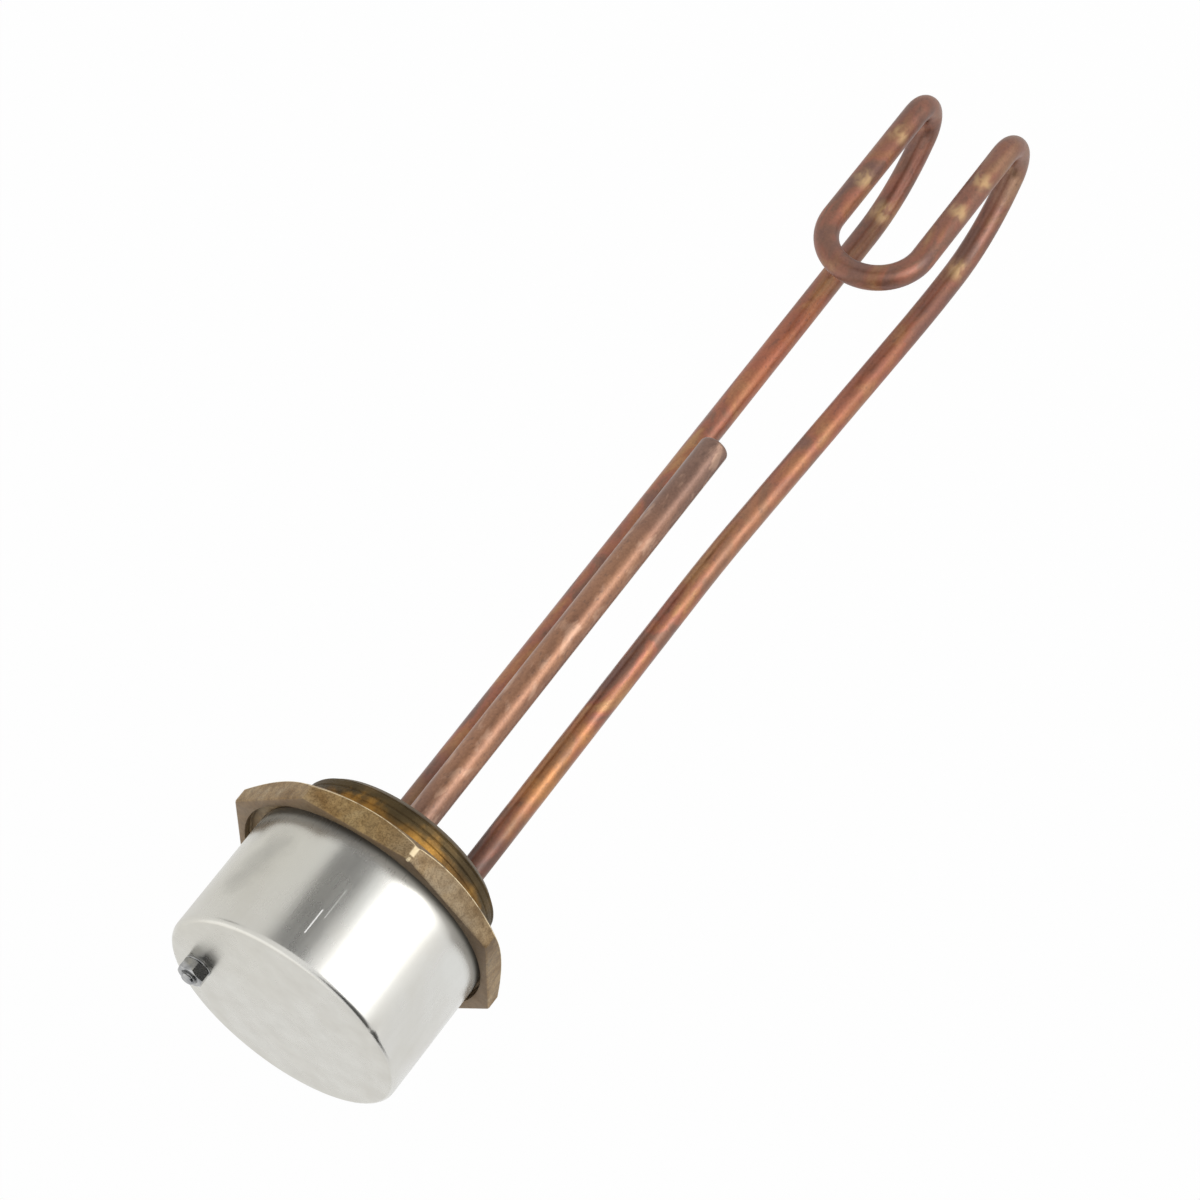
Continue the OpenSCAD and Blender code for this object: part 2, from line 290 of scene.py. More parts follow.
def sweep(path, radius, sides):
    """Rings of a round tube along a path, with flat ends."""
    rings = []
    angles = full_turn(sides)
    side = Vector((1, 0, 0))
    for k, here in enumerate(path):
        ahead = (path[min(k + 1, len(path) - 1)] - path[max(k - 1, 0)]).normalized()
        side = (side - ahead * side.dot(ahead)).normalized()
        across = ahead.cross(side)
        rings.append([tuple(here + (side * math.cos(a) + across * math.sin(a)) * radius) for a in angles])
    return [[tuple(path[0])]] + rings + [[tuple(path[-1])]]


def polygon_radius(angle, sides, across_flats, turn, rounding):
    """Radius at an angle of a polygon with rounded corners, its first corner at turn."""
    half = math.pi / sides
    off = (angle - turn + half) % (2 * half) - half
    centre = (across_flats / 2 - rounding) / math.cos(half)
    reach = math.atan2(rounding * math.sin(half), centre + rounding * math.cos(half))
    if abs(off) < reach:
        return centre * math.cos(off) + math.sqrt(rounding ** 2 - (centre * math.sin(off)) ** 2)
    return across_flats / 2 / math.cos(half - abs(off))


def piece(name, rings, finish, body, node, at=(0, 0, 0), sharp=40, wear_and_painted_light=None, closed=False):
    """Object made of a skin over rings, dressed, riding on its body and standing for its CAD node."""
    points, faces = skin(rings, closed)
    mesh = bpy.data.meshes.new(name)
    mesh.from_pydata([(Vector(p) + Vector(at)) * MM for p in points], [], faces)
    build = bmesh.new()
    build.from_mesh(mesh)
    bmesh.ops.recalc_face_normals(build, faces=build.faces)
    build.to_mesh(mesh)
    build.free()
    mesh.shade_smooth()
    mesh.set_sharp_from_angle(angle=math.radians(sharp))
    if wear_and_painted_light:
        mesh.attributes.new("wear_and_painted_light", "FLOAT", "POINT").data.foreach_set("value", wear_and_painted_light)
    mesh.materials.append(finish)
    obj = bpy.data.objects.new(name, mesh)
    bpy.context.scene.collection.objects.link(obj)
    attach(obj, body)
    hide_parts(node)
    return obj


def drill(obj, radius, start, end):
    """Cuts a round hole through an object, from one point to another."""
    start, end = Vector(start) * MM, Vector(end) * MM
    bpy.ops.mesh.primitive_cylinder_add(vertices=DRILL_SIDES, radius=radius * MM, depth=(end - start).length)
    cutter = bpy.context.object
    cutter.location = (start + end) / 2
    cutter.rotation_euler = (end - start).to_track_quat("Z", "Y").to_euler()
    cut = obj.modifiers.new("cut", "BOOLEAN")
    cut.object = cutter
    cut.solver = "EXACT"
    bpy.context.view_layer.update()
    drilled = bpy.data.meshes.new_from_object(obj.evaluated_get(bpy.context.evaluated_depsgraph_get()))
    obj.modifiers.remove(cut)
    obj.data = drilled
    bpy.data.objects.remove(cutter)


# Material helpers
def tone(red, green, blue):
    """Linear colour of an sRGB colour given as 0 to 255."""
    parts = [c / 255 for c in (red, green, blue)]
    return [p / 12.92 if p <= 0.04045 else ((p + 0.055) / 1.055) ** 2.4 for p in parts] + [1]


class Finish:
    """A node material under construction. Lengths are in millimetres."""

    def __init__(self, name, metallic, roughness):
        self.material = bpy.data.materials.new(name)
        self.material.use_nodes = True
        self.tree = self.material.node_tree
        self.shader = self.tree.nodes["Principled BSDF"]
        self.shader.inputs["Metallic"].default_value = metallic
        self.shader.inputs["Roughness"].default_value = roughness
        self.place = self.node("ShaderNodeTexCoord").outputs["Object"]

    def node(self, kind, sockets=(), **settings):
        """New node with its settings, and its sockets linked or set."""
        made = self.tree.nodes.new(kind)
        for key, value in settings.items():
            setattr(made, key, value)
        for key, value in dict(sockets).items():
            self.put(made.inputs[key], value)
        return made

    def put(self, socket, value):
        """Links a socket, or sets its value."""
        if isinstance(value, bpy.types.NodeSocket):
            self.tree.links.new(value, socket)
        else:
            socket.default_value = value

    def wire(self, **sockets):
        """Gives the shader's sockets their values, with _ for a space in a name."""
        for key, value in sockets.items():
            self.put(self.shader.inputs[key.replace("_", " ")], value)

    def math(self, operation, a, b=0.0):
        """Result of one sum on values."""
        return self.node("ShaderNodeMath", {0: a, 1: b}, operation=operation).outputs[0]

    def vector(self, operation, a, b):
        """Result of one sum on vectors."""
        made = self.node("ShaderNodeVectorMath", {0: a, 1: b}, operation=operation)
        return made.outputs["Value"] if operation == "DOT_PRODUCT" else made.outputs["Vector"]

    def length(self, vector):
        """Length of a vector."""
        return self.node("ShaderNodeVectorMath", {0: vector}, operation="LENGTH").outputs["Value"]

    def noise(self, size, detail=4.0, stretch=(1, 1, 1), distortion=0.0):
        """Noise with features of about a size, drawn out along an axis by its stretch."""
        scaled = self.vector("DIVIDE", self.place, stretch)
        sockets = {"Vector": scaled, "Scale": 1 / (size * MM), "Detail": detail, "Distortion": distortion}
        return self.node("ShaderNodeTexNoise", sockets).outputs["Fac"]

    def span(self, value, low, high, to_low=0.0, to_high=1.0):
        """A value smoothly mapped from one range to another, and held at its ends."""
        sockets = {"Value": value, "From Min": low, "From Max": high, "To Min": to_low, "To Max": to_high}
        return self.node("ShaderNodeMapRange", sockets, interpolation_type="SMOOTHSTEP").outputs["Result"]

    def mix(self, factor, a, b, blend="MIX"):
        """Mix of two colours."""
        made = self.node("ShaderNodeMix", data_type="RGBA", blend_type=blend)
        self.put(made.inputs["Factor"], factor)
        self.put(made.inputs[6], a)
        self.put(made.inputs[7], b)
        return made.outputs[2]

    def paint(self, colour, mask, over, strength=None):
        """A colour covered by an sRGB colour where a mask says so, up to a strength."""
        if strength is not None:
            mask = self.math("MULTIPLY", mask, strength)
        return self.mix(mask, colour, tone(*over))

    def shade(self, colour, factor, stops, strength):
        """A colour multiplied by a ramp, at a strength."""
        return self.mix(strength, colour, self.ramp(factor, stops), "MULTIPLY")

    def ramp(self, factor, stops):
        """Colour ramp over (position, sRGB colour) stops."""
        made = self.node("ShaderNodeValToRGB", {"Fac": factor})
        while len(made.color_ramp.elements) < len(stops):
            made.color_ramp.elements.new(0.5)
        for element, (position, colour) in zip(made.color_ramp.elements, stops):
            element.position = position
            element.color = tone(*colour)
        return made.outputs["Color"]

    def height(self):
        """Height above the sealing face in millimetres."""
        along = self.node("ShaderNodeSeparateXYZ", {"Vector": self.place}).outputs["Z"]
        return self.math("DIVIDE", along, MM)

    def radius(self):
        """Distance from the part's axis in millimetres."""
        flat = self.vector("MULTIPLY", self.place, (1, 1, 0))
        return self.math("DIVIDE", self.length(flat), MM)

    def spot(self, centre, radius, ragged=0.0):
        """Mask of a round spot, with its edge broken up by noise where it is ragged."""
        off = self.vector("SUBTRACT", self.place, Vector(centre) * MM)
        far = self.math("DIVIDE", self.length(off), radius * MM)
        if ragged:
            far = self.math("ADD", far, self.span(self.noise(radius * 0.5), 0.3, 0.7, -ragged, ragged))
        return self.span(far, 1.0, 0.1)

    def stroke(self, start, end, width):
        """Mask of a straight fine line between two points on the surface."""
        start, end = Vector(start) * MM, Vector(end) * MM
        along = (end - start).normalized()
        off = self.vector("SUBTRACT", self.place, (start + end) / 2)
        run = self.math("ABSOLUTE", self.vector("DOT_PRODUCT", off, along))
        on_length = self.span(run, (end - start).length / 2, (end - start).length * 0.44)
        across = self.vector("CROSS_PRODUCT", off, along)
        on_width = self.span(self.length(across), width * MM / 2, width * MM / 4)
        return self.math("MULTIPLY", on_length, on_width)

    def wear_and_painted_light(self):
        """The mesh's own mask of wear, painted recess shade and painted edge highlight."""
        return self.node("ShaderNodeAttribute", attribute_name="wear_and_painted_light").outputs["Fac"]

    def bump(self, *layers):
        """Surface relief from (height, depth in millimetres) layers."""
        normal = None
        for relief, depth in layers:
            made = self.node("ShaderNodeBump", {"Height": relief, "Strength": 1.0, "Distance": depth * MM})
            if normal:
                self.put(made.inputs["Normal"], normal)
            normal = made.outputs["Normal"]
        self.wire(Normal=normal)


# Finish of the boss. Every ramp is a row of (position, sRGB colour) stops
BRASS_CLOUD = ((0.3, (160, 134, 98)), (0.5, (182, 160, 127)), (0.7, (190, 174, 148)))
BRASS_MOTTLE = ((0.3, (166, 146, 122)), (0.6, (255, 249, 240)))
BRASS_GRAIN = ((0.36, (150, 136, 118)), (0.58, (255, 252, 246)))
TURNED = ((0.36, (98, 73, 40)), (0.5, (128, 95, 48)), (0.62, (176, 134, 66)))
TARNISH = ((0.34, (74, 61, 39)), (0.52, (88, 73, 47)), (0.68, (106, 86, 54)))
KEY_SIDE_SHADE_TINT = (214, 217, 222)
WARM_TINT = (246, 238, 210)
TOP_BROWN = (114, 97, 80)
THREAD_BRIGHT = (192, 142, 64)
END_BROWN = (116, 104, 87)
RECESS_SHADE = (74, 64, 47)
BARE_BRASS_AND_HIGHLIGHT = (230, 212, 176)
# Middle and radius of the flange's painted shade on the side that faces the key lamp, and of its yellower
# side
KEY_SIDE_SHADE_SPOT = ((35, 25, 4), 46)
WARM_SIDE = ((0, 43, 4), 26)
# Bright patches of the thread: centre and radius
THREAD_GOLD = (((-10.5, 31.1, -2.8), 7), ((-4.5, 32.5, -2.6), 7), ((15.5, 29, -2.5), 8))
# Bare marks down the worn corner: lowest and highest point, width
WORN_MARKS = ((0.6, 6.0, 2.1), (6.6, 7.9, 1.4))
MARK_INSET = 0.6
# Heights over which the top, the spigot, its tarnish and its end change colour
TOP_FADE = (FLANGE_T - 0.4, FLANGE_T - 0.05)
SPIGOT_FADE = (-0.6, -0.9)
TARNISH_FADE = (-4.6, -8.2)
END_FADE = (-11.4, -12.2)
# Radii over which the spigot's lip turns from cast to turned brass
LIP_FADE = (WET_R + 0.4, WET_R + 1.4)


def on_worn_corner(z):
    """Point on the flange's worn corner."""
    radius = CORNER_R - MARK_INSET
    return radius * math.cos(WORN_CORNER), radius * math.sin(WORN_CORNER), z


def cast_brass():
    """Cast flange, with a thread that goes from turned brass to tarnish."""
    f = Finish("cast_brass", metallic=0.8, roughness=0.55)
    cloud = f.noise(9, detail=5, distortion=0.6)
    mottle = f.noise(2.2, detail=4, stretch=(1, 1, 1.5), distortion=0.4)
    grain = f.noise(0.5, detail=3)
    stain = f.noise(11, detail=4)
    height = f.height()

    body = f.ramp(cloud, BRASS_CLOUD)
    body = f.shade(body, mottle, BRASS_MOTTLE, strength=0.5)
    body = f.shade(body, grain, BRASS_GRAIN, strength=0.55)
    # Painted shade over the flats that face the key lamp
    body = f.mix(f.spot(*KEY_SIDE_SHADE_SPOT), body, tone(*KEY_SIDE_SHADE_TINT), "MULTIPLY")
    body = f.mix(f.spot(*WARM_SIDE), body, tone(*WARM_TINT), "MULTIPLY")
    body = f.paint(body, f.span(height, *TOP_FADE, 0.0, 0.68), TOP_BROWN)

    uneven = f.math("ADD", height, f.span(cloud, 0.35, 0.65, -1.2, 1.2))
    thread = f.mix(f.span(uneven, *TARNISH_FADE), f.ramp(stain, TURNED), f.ramp(stain, TARNISH))
    for centre, radius in THREAD_GOLD:
        thread = f.paint(thread, f.spot(centre, radius, ragged=0.3), THREAD_BRIGHT, strength=0.65)
    thread = f.paint(thread, f.span(height, *END_FADE, 0.0, 0.8), END_BROWN)
    below = f.span(height, *SPIGOT_FADE)
    on_spigot = f.math("MULTIPLY", below, f.span(f.radius(), *LIP_FADE))
    colour = f.mix(on_spigot, body, thread)

    wear_and_painted_light = f.wear_and_painted_light()
    # Painted shade in the recess, where the mark is below zero
    colour = f.paint(colour, f.span(wear_and_painted_light, 0.0, -1.0, 0.0, 0.75), RECESS_SHADE)
    # Rubbed bare brass on the worn corner, and a painted highlight along the chamfer's edge line as well
    rubbed_and_highlight = f.span(wear_and_painted_light, 0.1, 0.9)
    for low, high, width in WORN_MARKS:
        rubbed_and_highlight = f.math("MAXIMUM", rubbed_and_highlight, f.stroke(on_worn_corner(low), on_worn_corner(high), width))
    rubbed_and_highlight = f.math("MULTIPLY", rubbed_and_highlight, f.span(mottle, 0.34, 0.5, 0.35, 1.0))
    colour = f.paint(colour, rubbed_and_highlight, BARE_BRASS_AND_HIGHLIGHT)
    f.wire(Base_Color=colour, Roughness=f.span(grain, 0.3, 0.7, 0.5, 0.64))
    f.bump((mottle, 0.09), (grain, 0.07))
    return f.material


# Thin clear oxide film on the copper tubes
OXIDE_FILM = {"Coat_Weight": 0.3, "Coat_Roughness": 0.3, "Coat_IOR": 2.0}

# Finish of the element
COPPER_HUES = (
    (0.34, (126, 91, 81)), (0.44, (142, 101, 78)), (0.5, (166, 105, 81)), (0.57, (170, 113, 75)),
    (0.66, (182, 137, 89)),
)
COPPER_STREAK = ((0.3, (190, 172, 166)), (0.7, (255, 250, 244)))
COPPER_BLOTCH = ((0.32, (200, 174, 170)), (0.6, (255, 250, 246)))
COPPER_GRAIN = ((0.36, (176, 160, 150)), (0.6, (255, 252, 250)))
COPPER_SPECK = (92, 64, 54)
GOLD_FLECK = (208, 175, 124)
# Tinted zones of the element: centre, radius, colour and strength
ELEMENT_ZONES = (
    ((2.3, 4, -312), 70, (138, 100, 83), 0.75),
    ((-13.8, -16.5, -226), 48, (186, 111, 76), 0.9),
    ((-13.8, -15.5, -286), 30, (112, 80, 66), 0.85),
    ((18.5, -13.5, -308), 26, (126, 92, 80), 0.7),
    ((17, -16.5, -250), 40, (166, 104, 78), 0.7),
    ((2.3, 12.8, -250), 26, (140, 101, 83), 0.7),
    ((-13.8, 5, -330), 20, (152, 113, 98), 0.8),
    ((18.5, 5, -330), 22, (156, 131, 114), 0.8),
    ((15.5, -16.5, -165), 44, (180, 131, 90), 0.75),
    ((13.8, -16.5, -62), 30, (194, 138, 72), 1.0),
    ((13.8, -16.5, -22), 30, (86, 63, 56), 1.0),
    ((-13.8, -16.5, -26), 46, (100, 75, 63), 0.95),
)
# Satin of the fold and of the root: heights over which it sets in, and roughness from and to
FOLD_SATIN = (-190, -260, 0.0, 0.12)
ROOT_SATIN = (-54, -26, 0.0, 0.2)
# Gold spots of the element, on the sides that show: centre and radius
GOLD_SPOTS = (
    ((-12.2, 16.5, -307), 5), ((-12.2, 16.5, -286), 5.5), ((-12.2, -12, -297), 6),
    ((20, 16.5, -304), 5.5), ((20, 16.5, -290), 5), ((20, -12.6, -291), 6),
)


def element_copper():
    """Heat-tinted copper with gold spots near its fold."""
    f = Finish("element_copper", metallic=0.92, roughness=0.4)
    patch = f.noise(9, detail=4, stretch=(1, 1, 2), distortion=0.6)
    streak = f.noise(2.6, detail=4, stretch=(1, 1, 5))
    blotch = f.noise(5, detail=4, stretch=(1, 1, 1.6), distortion=0.6)
    grain = f.noise(0.8, detail=3)
    specks = f.noise(1.3, detail=3, stretch=(1, 1, 1.5))
    flecks = f.noise(3.5, detail=2, stretch=(1, 1, 1.6), distortion=0.3)
    height = f.height()

    hues = f.ramp(patch, COPPER_HUES)
    colour = hues
    for centre, radius, tint, strength in ELEMENT_ZONES:
        colour = f.paint(colour, f.spot(centre, radius, ragged=0.3), tint, strength)
    colour = f.mix(0.3, colour, hues)
    colour = f.shade(colour, streak, COPPER_STREAK, strength=0.2)
    colour = f.shade(colour, blotch, COPPER_BLOTCH, strength=0.5)
    colour = f.shade(colour, grain, COPPER_GRAIN, strength=0.22)
    colour = f.paint(colour, f.span(specks, 0.58, 0.72, 0.0, 0.32), COPPER_SPECK)
    gold = f.span(flecks, 0.4, 0.62, 0.1, 0.7)
    for centre, radius in GOLD_SPOTS:
        colour = f.paint(colour, f.spot(centre, radius), GOLD_FLECK, strength=gold)
    satin = f.math("ADD", f.span(height, *FOLD_SATIN), f.span(height, *ROOT_SATIN))
    f.wire(Base_Color=colour, Roughness=f.math("ADD", f.span(blotch, 0.35, 0.65, 0.34, 0.52), satin))
    f.wire(**OXIDE_FILM)
    f.bump((f.noise(1.4, detail=3), 0.005))
    return f.material


# Finish of the pocket
POCKET_HUES = ((0.32, (142, 102, 78)), (0.5, (160, 115, 86)), (0.7, (174, 128, 94)))
POCKET_STREAK = ((0.3, (194, 182, 176)), (0.7, (255, 251, 247)))
POCKET_BLOTCH = ((0.32, (194, 176, 168)), (0.6, (255, 251, 248)))
POCKET_GRAIN = ((0.36, (180, 164, 154)), (0.6, (255, 252, 250)))
POCKET_TIP = (134, 108, 96)
POCKET_ROOT = (128, 96, 78)
POCKET_OXIDE = (204, 166, 140)
POCKET_SPECK = (100, 72, 58)
# Heights over which the pocket's tip and root change colour
TIP_FADE = (-120, -178)
ROOT_FADE = (-46, -18)


def pocket_copper():
    """Duller copper with pale oxide and dark specks."""
    f = Finish("pocket_copper", metallic=0.9, roughness=0.36)
    patch = f.noise(20, detail=5, stretch=(1, 1, 3), distortion=0.5)
    streak = f.noise(2.4, detail=4, stretch=(1, 1, 7))
    blotch = f.noise(4, detail=4, stretch=(1, 1, 1.8), distortion=0.5)
    grain = f.noise(0.8, detail=3)
    oxide = f.noise(3.4, detail=5, stretch=(1, 1, 2.5), distortion=0.4)
    specks = f.noise(1.3, detail=3, stretch=(1, 1, 1.5))
    height = f.height()

    colour = f.ramp(patch, POCKET_HUES)
    colour = f.paint(colour, f.span(height, *TIP_FADE), POCKET_TIP, strength=0.7)
    colour = f.paint(colour, f.span(height, *ROOT_FADE, 0.0, 0.7), POCKET_ROOT)
    colour = f.shade(colour, streak, POCKET_STREAK, strength=0.3)
    colour = f.shade(colour, blotch, POCKET_BLOTCH, strength=0.5)
    colour = f.shade(colour, grain, POCKET_GRAIN, strength=0.3)
    colour = f.paint(colour, f.span(oxide, 0.54, 0.68, 0.0, 0.4), POCKET_OXIDE)
    colour = f.paint(colour, f.span(specks, 0.58, 0.72, 0.0, 0.45), POCKET_SPECK)
    f.wire(Base_Color=colour, Roughness=f.span(blotch, 0.3, 0.7, 0.36, 0.5))
    f.wire(**OXIDE_FILM)
    f.bump((f.noise(1.2, detail=3), 0.006))
    return f.material


def on_cover(turn, z):
    """Point on the cover's side, by azimuth in degrees and height."""
    turn = math.radians(turn)
    return COVER_AT.x + COVER_R * math.cos(turn), COVER_AT.y + COVER_R * math.sin(turn), z


# Finish of the cover
COVER_CLOUD = ((0.3, (209, 207, 200)), (0.5, (215, 214, 209)), (0.7, (219, 219, 215)))
COVER_END = ((0.35, (191, 188, 179)), (0.65, (203, 201, 193)))
COVER_FINE = ((0.3, (190, 188, 184)), (0.65, (255, 255, 255)))
SIDE_SHADE_TONE = (199, 196, 185)
SMUDGE_TONE = (172, 170, 162)
SCRATCH_TONE = (252, 252, 250)
FOOT_SHADE_TONE = (184, 181, 172)
FOOT_DARK_REFLECTION_TONE = (120, 118, 114)
FOOT_GAP_SHADE_TONE = (80, 74, 64)
# Heights over which the cover's end, its duller foot with painted shade, and the deeper painted shade where
# the foot enters the recess set in
COVER_END_FADE = (48.2, 48.5)
FOOT_FADE = (13.5, 7.5)
FOOT_GAP_SHADE_FADE = (8.8, 6.8)
# Painted shade on one side and a painted dark reflection at the foot: centre and radius
SHADED_SIDE_SPOT = (on_cover(128, 22), 52)
FOOT_DARK_REFLECTION_SPOT = (on_cover(92, 9), 20)
# Smudges on the side: centre and radius
SMUDGES = (
    (on_cover(125, 33), 8), (on_cover(121.5, 26), 9), (on_cover(118.5, 19), 8), (on_cover(138, 12), 9),
)
# Scratches on the side: both ends, width and strength
SCRATCHES = (
    (on_cover(80.2, 31), on_cover(80.2, 40.3), 0.5, 0.9),
    (on_cover(77.5, 22), on_cover(77.5, 33.5), 0.3, 0.4),
)


def cover_sheet():
    """Bright drawn sheet, dull on its end and at its foot, with painted shade on one side, and painted shade
    and a painted dark reflection at its foot.
    """
    f = Finish("cover_sheet", metallic=1.0, roughness=0.26)
    cloud = f.noise(22, detail=3, distortion=0.4)
    fine = f.noise(1.8, detail=3, stretch=(1, 1, 10))
    height = f.height()

    colour = f.ramp(cloud, COVER_CLOUD)
    dull = f.ramp(f.noise(7, detail=3), COVER_END)
    colour = f.mix(f.span(height, *COVER_END_FADE), colour, f.mix(0.6, colour, dull))
    # Painted shade on one side of the cover
    colour = f.paint(colour, f.spot(*SHADED_SIDE_SPOT), SIDE_SHADE_TONE, strength=0.9)
    for centre, radius in SMUDGES:
        colour = f.paint(colour, f.spot(centre, radius, ragged=0.1), SMUDGE_TONE, strength=0.6)
    colour = f.shade(colour, fine, COVER_FINE, strength=0.05)
    rough = f.math("ADD", f.span(cloud, 0.3, 0.7, 0.31, 0.25), f.span(fine, 0.3, 0.7, -0.01, 0.01))
    for start, end, width, strength in SCRATCHES:
        line = f.math("MULTIPLY", f.stroke(start, end, width), strength)
        colour = f.paint(colour, line, SCRATCH_TONE)
        rough = f.math("ADD", rough, f.math("MULTIPLY", line, 0.4))

    # Duller foot near the flange, painted with shade
    near_flange = f.span(height, *FOOT_FADE)
    # Painted dark reflection on the foot, where the dark band of the side runs down to the flange
    foot_shade_and_reflection = f.mix(f.spot(*FOOT_DARK_REFLECTION_SPOT), tone(*FOOT_SHADE_TONE), tone(*FOOT_DARK_REFLECTION_TONE))
    colour = f.mix(f.math("MULTIPLY", near_flange, 0.8), colour, foot_shade_and_reflection)
    # Deeper painted shade where the foot enters the recess
    colour = f.paint(colour, f.span(height, *FOOT_GAP_SHADE_FADE, 0.0, 0.75), FOOT_GAP_SHADE_TONE)
    f.wire(Base_Color=colour, Roughness=rough, Metallic=f.span(near_flange, 0.0, 1.0, 1.0, 0.2))
    f.bump((f.noise(16, detail=2), 0.012))
    return f.material


# Finishes of the small metal pieces
ZINC_CLOUD = ((0.3, (138, 139, 141)), (0.6, (168, 168, 167)), (0.75, (184, 182, 175)))
BRIGHT_CLOUD = ((0.3, (168, 132, 66)), (0.6, (206, 172, 98)), (0.75, (216, 186, 118)))
STEEL_CLOUD = ((0.3, (128, 126, 122)), (0.7, (176, 176, 174)))


def zinc_steel():
    """Zinc-plated steel of the stud, its nuts and its washer."""
    f = Finish("zinc_steel", metallic=1.0, roughness=0.2)
    cloud = f.noise(2.5, detail=4)
    f.wire(Base_Color=f.ramp(cloud, ZINC_CLOUD), Roughness=f.span(cloud, 0.3, 0.7, 0.22, 0.13))
    f.bump((f.noise(0.4, detail=3), 0.01))
    return f.material


def bright_brass():
    """Clean brass of the inner fittings."""
    f = Finish("bright_brass", metallic=1.0, roughness=0.32)
    cloud = f.noise(3, detail=5)
    f.wire(Base_Color=f.ramp(cloud, BRIGHT_CLOUD), Roughness=f.span(cloud, 0.3, 0.7, 0.42, 0.26))
    f.bump((f.noise(0.35, detail=3), 0.008))
    return f.material


def pin_steel():
    """Plain steel of the cold pins and terminal screws."""
    f = Finish("pin_steel", metallic=1.0, roughness=0.35)
    cloud = f.noise(2, detail=5, stretch=(1, 1, 3))
    f.wire(Base_Color=f.ramp(cloud, STEEL_CLOUD), Roughness=f.span(cloud, 0.3, 0.7, 0.45, 0.3))
    f.bump((f.noise(0.4, detail=3), 0.008))
    return f.material


def plain_matter(name, dark, light, rough_low, rough_high, size, depth):
    """Mineral, moulded or rubber matter with a mottled tone and a fine grain."""
    f = Finish(name, metallic=0.0, roughness=rough_high)
    cloud = f.noise(size * 8, detail=5)
    grain = f.noise(size, detail=3)
    colour = f.ramp(cloud, ((0.3, dark), (0.7, light)))
    f.wire(Base_Color=colour, Roughness=f.span(grain, 0.3, 0.7, rough_low, rough_high))
    f.bump((grain, depth), (cloud, depth))
    return f.material


# Boss: octagonal flange, recess and well for the terminals, pipe thread
def flange_radius(angle):
    """Radius of the octagon at an angle."""
    return polygon_radius(angle, FLANGE_SIDES, FLANGE_AF, FLANGE_TURN, CORNER_ROUND)


def worn_radius(angle, cut):
    """Flange radius with the worn corner cut back by a small flat."""
    off = (angle - WORN_CORNER + math.pi) % math.tau - math.pi
    if abs(off) >= WORN_SPAN:
        return flange_radius(angle)
    flat = flange_radius(WORN_CORNER) - cut
    return min(flange_radius(angle), flat / math.cos(off))


def chamfer_z(angle):
    """Height of the flange's chamfer, which is deepest at the corners."""
    return FLANGE_CHAMFER * (flange_radius(angle) - CHAMFER_R) / (CORNER_R - CHAMFER_R)


def well_radius(angle):
    """Radius of the well, drawn in round the lug that carries the stud."""
    stud_angle = math.atan2(STUD_AT.y, STUD_AT.x)
    stud_far = math.hypot(STUD_AT.x, STUD_AT.y)
    off = (angle - stud_angle + math.pi) % math.tau - math.pi
    if stud_far * abs(math.sin(off)) >= LUG_R or abs(off) > 1:
        return WELL_R
    return min(WELL_R, stud_far * math.cos(off) - math.sqrt(LUG_R ** 2 - (stud_far * math.sin(off)) ** 2))


def thread_wave(turns):
    """Height of a rounded thread form, from 0 in the root to 1 on the crest."""
    off = abs(2 * (turns % 1) - 1)
    t = min(1, off / THREAD_FLANK)
    return t * t * (3 - 2 * t)


def thread_radius(z):
    """Radius of the pipe thread at a height, as a function of the angle, with its lead-in."""
    lead = THREAD_R - LEAD_SLOPE * max(0, THREAD_LEAD - (z - SPIGOT_Z))
    return lambda a: min(lead, THREAD_ROOT + THREAD_DEPTH * thread_wave(z / THREAD_PITCH + a / math.tau))


